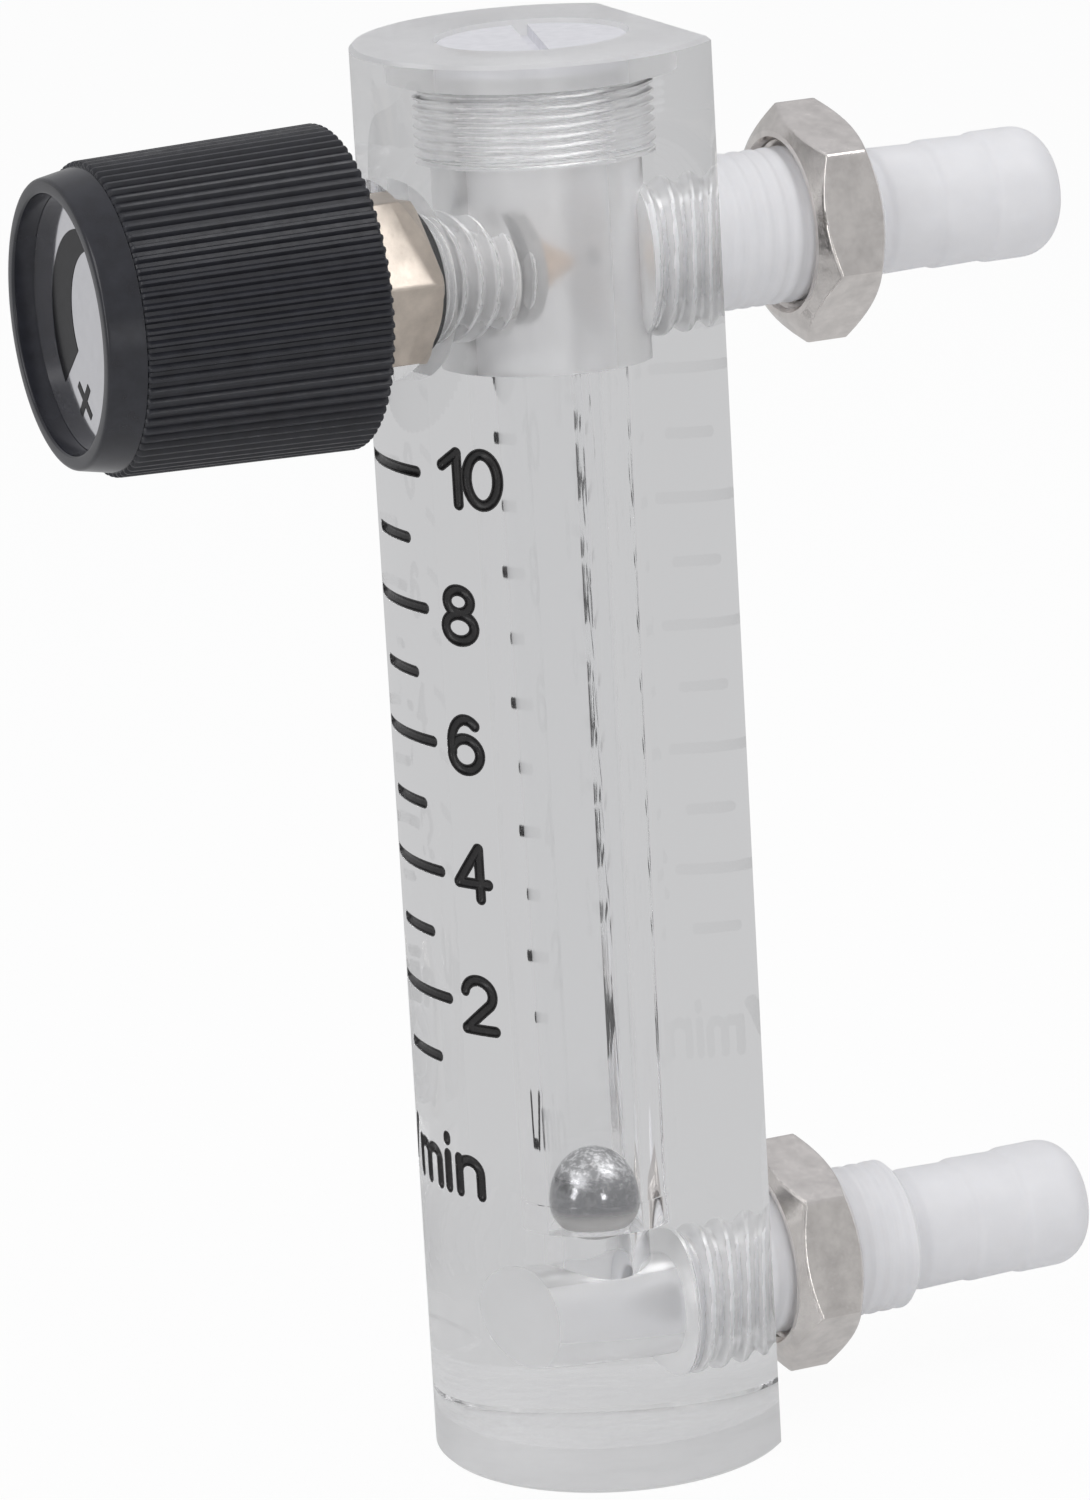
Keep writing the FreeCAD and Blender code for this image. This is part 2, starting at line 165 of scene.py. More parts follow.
def along_y(z):
    """Maps a turned shape to an axis along Y at height z."""
    return lambda a, c, s: np.stack([c, a, z + s], -1)


def band_faces(rows, count, closed=False):
    """Faces between rings of points. Closed joins the last ring to the first."""
    faces = []
    for row in range(rows if closed else rows - 1):
        base, above = row * count, (row + 1) % rows * count
        for k in range(count):
            following = (k + 1) % count
            faces.append((base + k, base + following, above + following, above + k))
    return faces


def end_faces(rows, count):
    """Faces that close the first and the last ring."""
    return [tuple(range(count)), tuple(range((rows - 1) * count, rows * count))]


def turned(name, rows, place, segments=160, material=None, loop=False, sharp_angle=32.0):
    """Turned solid. Each row is (along, radius), where radius may be an array with a value for each segment.
    With loop the last row joins the first, which makes a ring, and otherwise both ends are closed."""
    angles = np.arange(segments) * 2 * math.pi / segments
    cosine, sine = np.cos(angles), np.sin(angles)
    points = []
    for along, radius in rows:
        radius = np.broadcast_to(np.asarray(radius, float), (segments,))
        points.append(place(np.full(segments, float(along)), radius * cosine, radius * sine))
    points = np.concatenate(points)
    faces = band_faces(len(rows), segments, loop)
    if not loop:
        for row in (0, len(rows) - 1):
            centre = len(points)
            tip = place(np.array([float(rows[row][0])]), np.zeros(1), np.zeros(1))
            points = np.concatenate([points, tip])
            for k in range(segments):
                faces.append((row * segments + k, row * segments + (k + 1) % segments, centre))
    return new_object(name, points, faces, material, sharp_angle)


def rounded(profile, radius, steps=5):
    """Profile with its inner corners rounded. The radius may be a list with one for each point."""
    out = [profile[0]]
    for k in range(1, len(profile) - 1):
        here = Vector(profile[k])
        before = Vector(profile[k - 1]) - here
        after = Vector(profile[k + 1]) - here
        size = radius[k] if isinstance(radius, (list, tuple)) else radius
        size = min(size, before.length * 0.45, after.length * 0.45)
        if size < 1e-4:
            out.append(profile[k])
            continue
        start = here + before.normalized() * size
        end = here + after.normalized() * size
        for step in range(steps + 1):
            t = step / steps
            point = start.lerp(here, t).lerp(here.lerp(end, t), t)
            out.append((point.x, point.y))
    out.append(profile[-1])
    return out


def thread_rows(start, end, major, depth, pitch, segments, flat=0.18, fade=0.8, per_turn=14):
    """Rows of a threaded stretch, whose ridges fade out at both ends."""
    angles = np.arange(segments) / segments
    count = max(2, int(abs(end - start) / pitch * per_turn))
    rows = []
    for k in range(count + 1):
        along = start + (end - start) * k / count
        phase = (along / pitch - angles) % 1.0
        ridge = np.clip((np.abs(phase - 0.5) - flat / 2) / (0.5 - flat), 0, 1)
        ridge = ridge * ridge * (3 - 2 * ridge) * 0.35 + ridge * 0.65
        ends = min(1.0, min(abs(along - start), abs(end - along)) / fade)
        rows.append((along, major - depth * ridge * ends))
    return rows


def settle(obj):
    """Applies the modifiers of an object."""
    bpy.context.view_layer.update()
    graph = bpy.context.evaluated_depsgraph_get()
    mesh = bpy.data.meshes.new_from_object(obj.evaluated_get(graph))
    old = obj.data
    obj.modifiers.clear()
    obj.data = mesh
    bpy.data.meshes.remove(old)


def combine(obj, tool, operation):
    """Boolean of two closed meshes. The tool is deleted."""
    modifier = obj.modifiers.new("combine", "BOOLEAN")
    modifier.operation = operation
    modifier.solver = "MANIFOLD"
    modifier.object = tool
    settle(obj)
    old = tool.data
    bpy.data.objects.remove(tool)
    bpy.data.meshes.remove(old)
    return obj


def carve(obj, tools):
    """Cuts closed meshes out of an object."""
    for tool in tools:
        combine(obj, tool, "DIFFERENCE")
    return obj


# Materials

def fill(socket, value):
    """Gives a socket a value or the output of another node."""
    if isinstance(value, bpy.types.NodeSocket):
        socket.id_data.links.new(value, socket)
    else:
        socket.default_value = value


def feed(made, **values):
    """Fills the inputs of a node, whose names are written with underscores."""
    for key, value in values.items():
        fill(made.inputs[key.replace("_", " ")], value)


def node(tree, kind, **values):
    """A new node with its settings and inputs."""
    made = tree.nodes.new(kind)
    for key, value in values.items():
        if hasattr(made, key):
            setattr(made, key, value)
        else:
            feed(made, **{key: value})
    return made


def new_material(name, **values):
    """A new material, its tree and its shader, with the shader's inputs."""
    material = bpy.data.materials.new(name)
    material.use_nodes = True
    tree = material.node_tree
    shader = tree.nodes["Principled BSDF"]
    feed(shader, **values)
    return material, tree, shader


def show(tree, surface):
    feed(tree.nodes["Material Output"], Surface=surface)


def mix_shaders(tree, factor, first, second):
    mix = node(tree, "ShaderNodeMixShader", Fac=factor)
    fill(mix.inputs[1], first)
    fill(mix.inputs[2], second)
    return mix.outputs["Shader"]


def compute(tree, operation, first, second):
    made = node(tree, "ShaderNodeMath", operation=operation)
    fill(made.inputs[0], first)
    fill(made.inputs[1], second)
    return made.outputs["Value"]


def place_along(tree, axis, space="Object"):
    """Place along an axis. In object space one unit is a metre."""
    place = node(tree, "ShaderNodeTexCoord").outputs[space]
    return node(tree, "ShaderNodeSeparateXYZ", Vector=place).outputs[axis]


def noise(tree, scale, detail=4.0, roughness=0.5, stretch=(1, 1, 1)):
    """Noise in object space. The scale is given in bumps per millimetre."""
    place = node(tree, "ShaderNodeTexCoord").outputs["Object"]
    size = node(tree, "ShaderNodeMapping", Vector=place, Scale=[s / MM for s in stretch]).outputs["Vector"]
    made = node(tree, "ShaderNodeTexNoise", Vector=size, Scale=scale, Detail=detail, Roughness=roughness)
    return made.outputs["Fac"]


def spread(tree, value, low, high, from_low=0.3, from_high=0.7):
    """A value moved to a new range."""
    made = node(tree, "ShaderNodeMapRange", Value=value, From_Min=from_low, From_Max=from_high)
    feed(made, To_Min=low, To_Max=high)
    return made.outputs["Result"]


def blend_colours(tree, factor, first, second):
    """Mix of two colours, each a tuple or an output."""
    first, second = ((*c, 1) if isinstance(c, tuple) else c for c in (first, second))
    return node(tree, "ShaderNodeMix", data_type="RGBA", Factor=factor, A=first, B=second).outputs["Result"]


def mottle(tree, scale, first, second, detail=5.0):
    """Two colours, blended by noise."""
    return blend_colours(tree, spread(tree, noise(tree, scale, detail), 0, 1), first, second)


def bump(tree, shader, height, strength, distance_mm):
    made = node(tree, "ShaderNodeBump", Strength=strength, Distance=distance_mm * MM, Height=height)
    feed(shader, Normal=made.outputs["Normal"])


def let_lamps_through(tree, surface, share=0.92):
    """Shadow rays pass straight through a clear piece, so that the lamps reach what is inside it."""
    straight = node(tree, "ShaderNodeBsdfTransparent", Color=(share, share, share, 1))
    shadow = node(tree, "ShaderNodeLightPath").outputs["Is Shadow Ray"]
    show(tree, mix_shaders(tree, shadow, surface, straight.outputs["BSDF"]))


clear_colour = (0.985, 0.987, 0.99, 1)


def clear_material(name, smooth, rough, wave_scale, wave_strength, clarity=1.0, colour=clear_colour):
    """Acrylic with faint waves, its roughness between two values. Clarity under 1 makes it milky."""
    material, tree, shader = new_material(name, Base_Color=colour, Transmission_Weight=clarity, IOR=1.49)
    smudges = noise(tree, 0.22, detail=5.0, roughness=0.6)
    feed(shader, Roughness=spread(tree, smudges, smooth, rough, 0.45, 0.8))
    bump(tree, shader, noise(tree, wave_scale, detail=2.0), wave_strength, 0.02)
    let_lamps_through(tree, shader.outputs["BSDF"])
    return material


def contact_material():
    """Acrylic against acrylic or glue: nearly invisible, with a faint haze."""
    material, tree, shader = new_material("glued_acrylic", Base_Color=clear_colour, Roughness=0.5)
    straight = node(tree, "ShaderNodeBsdfTransparent")
    haze = spread(tree, noise(tree, 0.8, detail=5.0), 0.02, 0.08)
    show(tree, mix_shaders(tree, haze, straight.outputs["BSDF"], shader.outputs["BSDF"]))
    return material


def plug_material():
    """Clear acrylic, whose head is rough and white."""
    material, tree, clear = new_material(
        "plug", Base_Color=clear_colour, Transmission_Weight=0.6, IOR=1.49, Roughness=0.3
    )
    colour = mottle(tree, 0.9, (0.80, 0.80, 0.83), (0.72, 0.72, 0.75), detail=6.0)
    frosted = node(tree, "ShaderNodeBsdfPrincipled", Base_Color=colour, Roughness=0.55)
    head_low = plug_high.z - plug_head_thickness
    head = spread(tree, place_along(tree, "Z"), 0, 1, (head_low + 0.1) * MM, (head_low + 0.3) * MM)
    let_lamps_through(tree, mix_shaders(tree, head, clear.outputs["BSDF"], frosted.outputs["BSDF"]))
    return material


def white_plastic_material():
    """Moulded white plastic, slightly translucent, with a faint flow texture."""
    material, tree, shader = new_material(
        "white_plastic", Subsurface_Weight=0.35, Subsurface_Radius=(1.0, 0.95, 0.9),
        Subsurface_Scale=1.5 * MM, Specular_IOR_Level=0.4,
    )
    feed(shader, Base_Color=mottle(tree, 0.35, (0.80, 0.80, 0.815), (0.84, 0.84, 0.855)))
    feed(shader, Roughness=spread(tree, noise(tree, 2.0), 0.4, 0.5))
    bump(tree, shader, noise(tree, 1.2, detail=6.0), 0.35, 0.05)
    return material


def nickel_material(name="nickel", base=(0.86, 0.82, 0.79), polish=0.15):
    """Nickel plate with small pits and stains."""
    material, tree, shader = new_material(name, Metallic=1.0)
    stains = spread(tree, noise(tree, 0.6, detail=6.0, roughness=0.6), 0, 1, 0.35, 0.75)
    feed(shader, Base_Color=blend_colours(tree, stains, base, tuple(0.78 * c for c in base)))
    feed(shader, Roughness=spread(tree, noise(tree, 5.0), polish, polish + 0.06))
    pits = noise(tree, 2.2, detail=8.0, roughness=0.65)
    bump(tree, shader, spread(tree, pits, 0, 1, 0.28, 0.5), 0.12, 0.05)
    return material


def turning_marks(tree, shader):
    """Fine rings round an axis along Y."""
    bump(tree, shader, noise(tree, 8.0, stretch=(0.2, 2.0, 0.2)), 0.2, 0.02)


def brass_material():
    """Turned brass with fine rings."""
    material, tree, shader = new_material("brass", Metallic=1.0, Roughness=0.38)
    feed(shader, Base_Color=mottle(tree, 0.8, (0.52, 0.33, 0.16), (0.40, 0.24, 0.12)))
    turning_marks(tree, shader)
    return material


def stem_material():
    """Brass stem, brown on the needle, with its stop flange painted a dark dull colour as painted shade."""
    material, tree, shader = new_material("stem", Metallic=0.5, Roughness=0.42)
    start = (stem_high.y - needle_length) * MM
    on_needle = spread(tree, place_along(tree, "Y"), 0, 1, start - 0.05 * MM, start + 0.15 * MM)
    # Painted shade: the stop flange is painted dark, standing in for the shade round the bonnet's end.
    painted_shade_flange = mottle(tree, 0.8, (0.34, 0.33, 0.32), (0.26, 0.25, 0.24))
    brown = mottle(tree, 0.8, (0.78, 0.50, 0.28), (0.66, 0.41, 0.21))
    feed(shader, Base_Color=blend_colours(tree, on_needle, painted_shade_flange, brown))
    turning_marks(tree, shader)
    return material


def steel_ball_material():
    """Polished steel, dusty and speckled on top. Painted reflection: darker round its middle, lighter and
    duller on its lower part.
    """
    material, tree, shader = new_material("ball_steel", Metallic=1.0)
    height = place_along(tree, "Z")
    middle = ball_z * MM
    on_top = spread(tree, height, 0, 1, middle + 1.0 * MM, middle + 2.6 * MM)
    painted_light_below = spread(tree, height, 1, 0, middle - 1.3 * MM, middle - 0.5 * MM)
    specks = noise(tree, 2.6, detail=5.0, roughness=0.65)
    faint = spread(tree, specks, 0, 1, 0.5, 0.75)
    strong = spread(tree, specks, 0, 1, 0.45, 0.6)
    # Painted reflection: the middle colour is darker than the steel itself.
    polished = blend_colours(tree, faint, (0.30, 0.30, 0.31), (0.45, 0.45, 0.46))
    frosted = blend_colours(tree, strong, (0.42, 0.42, 0.43), (0.85, 0.85, 0.86))
    upper = blend_colours(tree, on_top, polished, frosted)
    # Painted reflection: the lower part of the ball is painted lighter.
    feed(shader, Base_Color=blend_colours(tree, painted_light_below, upper, (0.55, 0.54, 0.53)))
    dull = compute(tree, "MAXIMUM", on_top, painted_light_below)
    feed(shader, Roughness=spread(tree, dull, 0.14, 0.38, 0, 1))
    bump(tree, shader, noise(tree, 5.0), 0.2, 0.03)
    return material


def knob_plastic_material(name="knob_plastic", smooth=0.34, rough=0.46, grain=0.16):
    """Satin black plastic with a fine moulded grain."""
    material, tree, shader = new_material(name, Specular_IOR_Level=0.55)
    feed(shader, Base_Color=mottle(tree, 0.7, (0.013, 0.0135, 0.018), (0.021, 0.022, 0.029)))
    feed(shader, Roughness=spread(tree, noise(tree, 1.6, detail=6.0), smooth, rough))
    bump(tree, shader, noise(tree, 7.0, detail=5.0), grain, 0.02)
    return material


def rubber_material(name, base, rough):
    material, tree, shader = new_material(name, Roughness=rough)
    feed(shader, Base_Color=mottle(tree, 2.0, base, tuple(0.8 * c for c in base), detail=4.0))
    bump(tree, shader, noise(tree, 6.0), 0.15, 0.02)
    return material


def ink_material():
    """Black paint in the engraved strokes, with slight unevenness."""
    material, tree, shader = new_material("ink")
    feed(shader, Base_Color=mottle(tree, 2.5, (0.008, 0.008, 0.009), (0.02, 0.018, 0.018)))
    feed(shader, Roughness=spread(tree, noise(tree, 4.0), 0.22, 0.42))
    bump(tree, shader, noise(tree, 3.5, detail=5.0), 0.3, 0.03)
    return material


def dial_ink_material():
    """Glossy black print of the dial."""
    material, tree, shader = new_material("dial_ink", Roughness=0.12, Specular_IOR_Level=0.1)
    feed(shader, Base_Color=mottle(tree, 1.5, (0.004, 0.004, 0.005), (0.010, 0.010, 0.012)))
    bump(tree, shader, noise(tree, 2.0), 0.05, 0.02)
    return material


def dial_material():
    """Pale silver dial under gloss."""
    material, tree, shader = new_material("dial", Metallic=0.95, Roughness=0.07)
    feed(shader, Base_Color=mottle(tree, 0.9, (0.80, 0.80, 0.83), (0.76, 0.76, 0.79), detail=6.0))
    bump(tree, shader, noise(tree, 0.5, detail=3.0), 0.04, 0.02)
    return material


acrylic = clear_material("acrylic", 0.0, 0.03, 0.5, 0.12)
matt_acrylic = clear_material("matt_acrylic", 0.28, 0.42, 1.0, 0.05, 0.6, (0.93, 0.93, 0.935, 1))
bored_acrylic = clear_material("bored_acrylic", 0.05, 0.09, 0.5, 0.12)
glued_acrylic = contact_material()
white_plastic = white_plastic_material()
nickel = nickel_material()
hex_nickel = nickel_material("hex_nickel", (0.72, 0.64, 0.56), 0.34)
bright_nickel = nickel_material("bright_nickel", (0.90, 0.89, 0.88), 0.3)
brass = brass_material()
stem_metal = stem_material()
ball_steel = steel_ball_material()
knob_plastic = knob_plastic_material()
bezel_plastic = knob_plastic_material("bezel_plastic", 0.16, 0.22, 0.06)
black_rubber = rubber_material("black_rubber", (0.012, 0.012, 0.012), 0.45)
clear_rubber = rubber_material("clear_rubber", (0.7, 0.7, 0.7), 0.4)
ink = ink_material()
dial_face = dial_material()
dial_ink = dial_ink_material()


def give_materials(obj, *materials, choose=None):
    """Gives a piece its materials. Choose turns the middle of a face, in metres, into a number."""
    obj.data.materials.clear()
    for material in materials:
        obj.data.materials.append(material)
    if choose:
        for face in obj.data.polygons:
            face.material_index = choose(face.center)


# Engraved scale: strokes on the front, unrolled as (across, up), where across is the length of arc from -Y

glyph_height = 3.9
stroke_radius = 0.46
groove_depth = 0.42
ink_wall = 0.1
ink_overlap = 0.012
ink_inset = 0.03


def arc(centre, radii, start, end, steps=20):
    """Points of an ellipse arc, angles in degrees from the right, anticlockwise."""
    out = []
    for k in range(steps + 1):
        turn = math.radians(start + (end - start) * k / steps)
        out.append((centre[0] + radii[0] * math.cos(turn), centre[1] + radii[1] * math.sin(turn)))
    return out


def glyph_strokes(name, left):
    """Centre lines of one number or letter, with its left edge at the given place across the surface."""
    top = glyph_height / 2
    small = top - 1.25
    shapes = {
        "0": [arc((1.27, 0), (1.27, top), 0, 360, 40)],
        "1": [[(0, top - 1.0), (0.75, top - 0.45), (1.38, top)], [(1.38, top), (1.38, -top)]],
        "2": [
            arc((1.32, top - 1.18), (1.30, 1.18), 168, -38, 24),
            [(2.34, top - 1.9), (0, -top)],
            [(0, -top), (2.72, -top)],
        ],
        "4": [[(2.0, top), (0, -0.8)], [(0, -0.8), (2.75, -0.8)], [(2.05, top), (2.05, -top)]],
        "6": [arc((1.32, -0.74), (1.30, 1.21), 0, 360, 40), arc((1.42, 0), (1.40, top), 198, 52, 24)],
        "8": [arc((1.32, -0.93), (1.30, 1.02), 0, 360, 36), arc((1.32, 1.06), (1.06, 0.89), 0, 360, 36)],
        "L": [[(0, top), (0, -top)], [(0, -top), (1.95, -top)]],
        "/": [[(0, -top - 0.1), (1.4, top + 0.1)]],
        "m": [
            [(0, small), (0, -top)],
            arc((0.9, small - 0.75), (0.9, 0.75), 180, 0, 14) + [(1.8, -top)],
            arc((2.7, small - 0.75), (0.9, 0.75), 180, 0, 14) + [(3.6, -top)],
        ],
        "i": [[(0, small), (0, -top)], [(0, top - 0.1), (0, top + 0.15)]],
        "n": [[(0, small), (0, -top)], arc((1.15, small - 1.0), (1.15, 1.0), 180, 0, 16) + [(2.3, -top)]],
    }
    return [[(left + x, z) for x, z in stroke] for stroke in shapes[name]]


# Left end of the centre line of each glyph, from the middle of the front, by the height of its middle
glyph_rows = {
    79.6: (("1", 6.85), ("0", 9.05)),
    69.1: (("8", 6.32),),
    59.1: (("6", 6.16),),
    49.1: (("4", 6.05),),
    38.7: (("2", 5.98),),
    25.3: (("L", -7.5), ("/", -4.7), ("m", -2.1), ("i", 2.75), ("n", 4.15)),
}
tick_count = 10
scale_opening = 0.019
long_half_angle = 19.0
short_half_angle = 12.0
tick_half = 0.45


def tick_strokes():
    """Centre lines of the ten ticks. The scale opens out a little towards the top."""
    half = (marks_high.z - marks_low.z) / 2
    first = (marks_high.z + marks_low.z) / 2 - half + tick_half
    steps = tick_count - 1
    spacing = (2 * half - 2 * tick_half) / steps - scale_opening * steps
    out = []
    for index in range(tick_count):
        z = first + index * spacing + index ** 2 * scale_opening
        angle = long_half_angle if index % 2 else short_half_angle
        reach = math.radians(angle) * body_radius - stroke_radius
        out.append([(-reach, z), (reach, z)])
    return out


def scale_strokes():
    strokes = tick_strokes()
    for height, row in glyph_rows.items():
        for glyph, left in row:
            for stroke in glyph_strokes(glyph, left):
                strokes.append([(x, height + z) for x, z in stroke])
    return strokes


def resample(points, step):
    """Points along a line at even steps."""
    out = [points[0]]
    for a, b in zip(points, points[1:]):
        length = math.dist(a, b)
        count = max(1, round(length / step))
        for k in range(1, count + 1):
            t = k / count
            out.append((a[0] + (b[0] - a[0]) * t, a[1] + (b[1] - a[1]) * t))
    return out


def stroke_solid(points, radius, depth, around=18, cap_steps=5):
    """A round-ended bar along a stroke, bent round the body and sunk into it by the depth."""
    closed = math.dist(points[0], points[-1]) < 1e-6
    path = resample(points, 0.25)
    if closed:
        path = path[:-1]
    count = len(path)
    centre = radius - depth
    rings = []
    for k in range(count):
        before = path[k - 1] if closed or k > 0 else path[0]
        after = path[(k + 1) % count] if closed or k < count - 1 else path[-1]
        direction = Vector((after[0] - before[0], after[1] - before[1])).normalized()
        rings.append((Vector(path[k]), direction, radius))
    if not closed:
        start, end = rings[0], rings[-1]
        for step in range(1, cap_steps + 1):
            turn = math.pi / 2 * step / (cap_steps + 0.6)
            size = radius * math.cos(turn)
            rings.insert(0, (start[0] - start[1] * radius * math.sin(turn), start[1], size))
            rings.append((end[0] + end[1] * radius * math.sin(turn), end[1], size))
    round_points = []
    for place, direction, size in rings:
        side = Vector((-direction.y, direction.x))
        for j in range(around):
            turn = 2 * math.pi * j / around
            flat = place + side * size * math.cos(turn)
            round_points.append((flat.x, flat.y, centre + size * math.sin(turn)))
    faces = band_faces(len(rings), around, closed)
    if not closed:
        faces += end_faces(len(rings), around)
    flat = np.array(round_points)
    turn = flat[:, 0] / body_radius
    reach = body_radius + flat[:, 2]
    bent = np.stack([reach * np.sin(turn), -reach * np.cos(turn), flat[:, 1]], -1)
    return new_object("stroke", bent, faces)


def strokes_solid(radius, depth):
    """All strokes of the scale as one solid."""
    solids = [stroke_solid(stroke, radius, depth) for stroke in scale_strokes()]
    whole = solids[0]
    for solid in solids[1:]:
        combine(whole, solid, "UNION")
    return whole


def scale_piece():
    """Paint in the grooves: a thin trough in each stroke, a little under the surface of the body."""
    paint = strokes_solid(stroke_radius + ink_overlap, groove_depth + ink_overlap)
    hollow = strokes_solid(stroke_radius - ink_wall, groove_depth - ink_wall)
    surface = body_radius - ink_inset
    bar = turned("bar", [(0, surface), (top_z, surface)], along_z(0), 256)
    combine(paint, bar, "INTERSECT")
    carve(paint, [hollow])
    paint.name = paint.data.name = "scale_ink"
    give_materials(paint, ink)
    shade(paint, 40)
    return paint


# The clear body

def bar_with_flat(name, low, high, low_break, high_break):
    """The round bar with its flat back and chamfers of two sizes at its ends, as one closed mesh."""
    segments = 288
    start = math.asin(flat_y / body_radius)
    outline = []
    for k in range(segments + 1):
        turn = math.pi - start + (math.pi + 2 * start) * k / segments
        outline.append((math.cos(turn), math.sin(turn)))
    rows = sorted({(low, low_break), (low + low_break, 0), (high - high_break, 0), (high, high_break)})
    points = []
    for z, inset in rows:
        radius = body_radius - inset
        for c, s in outline:
            points.append((radius * c, min(radius * s, flat_y - inset), z))
    size = len(rows), len(outline)
    return new_object(name, points, band_faces(*size) + end_faces(*size))


def body_cavities():
    """Everything that is bored, tapped or counterbored in the clear body."""
    upright, low_port, high_port = along_z(bore_y), along_y(inlet_z), along_y(outlet_z)
    head_hole = plug_head_radius + air_gap
    metering = [
        (seat_z, pocket_radius),
        (pocket_top_z, pocket_radius),
        (pocket_top_z, bore_bottom_radius),
        (ledge_z, bore_top_radius),
    ]
    plug_thread = thread_rows(
        plug_low.z - 0.3, counterbore_z + 0.2, plug_thread_radius + air_gap, plug_thread_depth, plug_pitch,
        144, fade=0.3, per_turn=12,
    )
    inlet_port, outlet_port = (
        [(start, shank_radius - port_thread_depth)] + thread_rows(
            start + 0.3, flat_y + 1.5, shank_radius + air_gap, port_thread_depth, port_pitch, 144, fade=0.5
        )
        for start in (inlet_hole_y, outlet_hole_y)
    )
    valve_thread = thread_rows(
        spotface_y - 0.5, bore_y, valve_shank_radius + air_gap, valve_thread_depth, valve_pitch, 144
    )
    cavities = (
        (metering, upright, 192),
        ([(inlet_z, seat_hole_radius), (seat_z + 0.5, seat_hole_radius)], upright, 128),
        ([(ledge_z - 0.001, chamber_radius), (plug_low.z, chamber_radius)], upright, 192),
        (plug_thread, upright, 144),
        ([(counterbore_z, head_hole), (top_z + 1, head_hole)], upright, 192),
        ([(cross_bore_front_y, cross_bore_radius), (inlet_hole_y + 0.2, cross_bore_radius)], low_port, 144),
        (inlet_port, low_port, 144),
        (outlet_port, high_port, 144),
        (valve_thread, high_port, 144),
        ([(-body_radius - 1, spotface_radius), (spotface_y, spotface_radius)], high_port, 192),
    )
    return [turned("cavity", rows, place, segments) for rows, place, segments in cavities]


def true_normals(obj, walls):
    """Sets exact normals on the round walls, so that what shows through them isn't faceted.
    Each wall is (its axis, the place of the axis, low radius, high radius, low, high)."""
    mesh = obj.data

    def read(items, name):
        values = np.empty(len(items) * 3, np.float32)
        items.foreach_get(name, values)
        return values.reshape(-1, 3)

    normals = read(mesh.corner_normals, "vector")
    corner_point = np.empty(len(mesh.loops), np.int32)
    mesh.loops.foreach_get("vertex_index", corner_point)
    place = (read(mesh.vertices, "co") / MM)[corner_point]
    corners = [face.loop_total for face in mesh.polygons]
    face_normals = np.repeat(read(mesh.polygons, "normal"), corners, axis=0)
    for axis, centre, low_radius, high_radius, low, high in walls:
        columns, lengthwise = ([0, 1], 2) if axis == "z" else ([0, 2], 1)
        along, offset = place[:, lengthwise], place[:, columns] - (0, centre)
        reach = np.linalg.norm(offset, axis=1)
        slope = (high_radius - low_radius) / (high - low)
        outward = offset / np.maximum(reach, 1e-6)[:, None]
        facing = (face_normals[:, columns] * outward).sum(1)
        near = (np.abs(reach - low_radius - slope * (along - low)) < 0.01) & (np.abs(facing) > 0.98)
        near &= (along > low - 0.01) & (along < high + 0.01)
        exact = np.zeros_like(normals)
        exact[:, columns] = outward
        exact[:, lengthwise] = -slope
        exact *= (np.sign(facing) / np.maximum(np.linalg.norm(exact, axis=1), 1e-9))[:, None]
        normals[near] = exact[near]
    mesh.normals_split_custom_set(normals.tolist())


def finish_at(place):
    """Which acrylic a face of the body has: 0 polished, 1 matt where it was drilled or tapped, 2 reamed,
    3 glued or in close contact."""
    margin = 0.05
    from_bore = math.hypot(place.x, place.y - bore_y)
    from_valve = math.hypot(place.x, place.z - outlet_z)
    if place.z < joint_z + margin:
        return 3
    if place.y < spotface_y + margin and from_valve < spotface_radius + margin:
        return 3 if from_valve > spotface_radius - margin else 0
    outside = math.hypot(place.x, place.y) > body_radius - groove_depth - 0.1 or place.y > flat_y - margin
    if outside and place.z < top_z - 0.2:
        return 0
    in_bore = from_bore < bore_top_radius + margin and seat_z - 0.01 < place.z < ledge_z
    in_seat = abs(from_bore - seat_hole_radius) < 0.06 and inlet_z + 3.5 < place.z < seat_z
    return 2 if in_bore or in_seat else 1


def clear_body():
    """The body with its bores, threads and grooves."""
    body = bar_with_flat("clear_body", joint_z, top_z, 0, edge_break)
    carve(body, body_cavities())
    carve(body, [strokes_solid(stroke_radius, groove_depth)])
    body.name = body.data.name = "clear_body"
    finishes = (acrylic, matt_acrylic, bored_acrylic, glued_acrylic)
    give_materials(body, *finishes, choose=lambda middle: finish_at(middle / MM))
    shade(body, 32)
    head_hole = plug_head_radius + air_gap
    walls = [
        ("z", 0, body_radius, body_radius, joint_z, top_z),
        ("z", bore_y, pocket_radius, pocket_radius, seat_z, pocket_top_z),
        ("z", bore_y, bore_bottom_radius, bore_top_radius, pocket_top_z, ledge_z),
        ("z", bore_y, chamber_radius, chamber_radius, ledge_z, plug_low.z),
        ("z", bore_y, seat_hole_radius, seat_hole_radius, inlet_z, seat_z),
        ("z", bore_y, head_hole, head_hole, counterbore_z, top_z),
        ("y", inlet_z, cross_bore_radius, cross_bore_radius, cross_bore_front_y, inlet_hole_y),
        ("y", outlet_z, spotface_radius, spotface_radius, -body_radius, spotface_y),
    ]
    true_normals(body, walls)
    return body


def clear_plate():
    """Bottom plate. It reaches a hair into the body, so that the glued joint is one clear mass."""
    plate = bar_with_flat("clear_plate", plate_low.z, joint_z + glue, edge_break, glue)

    def finish_of(middle):
        height = middle.z / MM
        return 1 if height < plate_low.z + 0.02 else 2 if height > joint_z - 0.02 else 0

    give_materials(plate, acrylic, matt_acrylic, glued_acrylic, choose=finish_of)
    true_normals(plate, [("z", 0, body_radius, body_radius, plate_low.z, joint_z + glue)])
    return plate


# Plug, fittings, nuts and valve

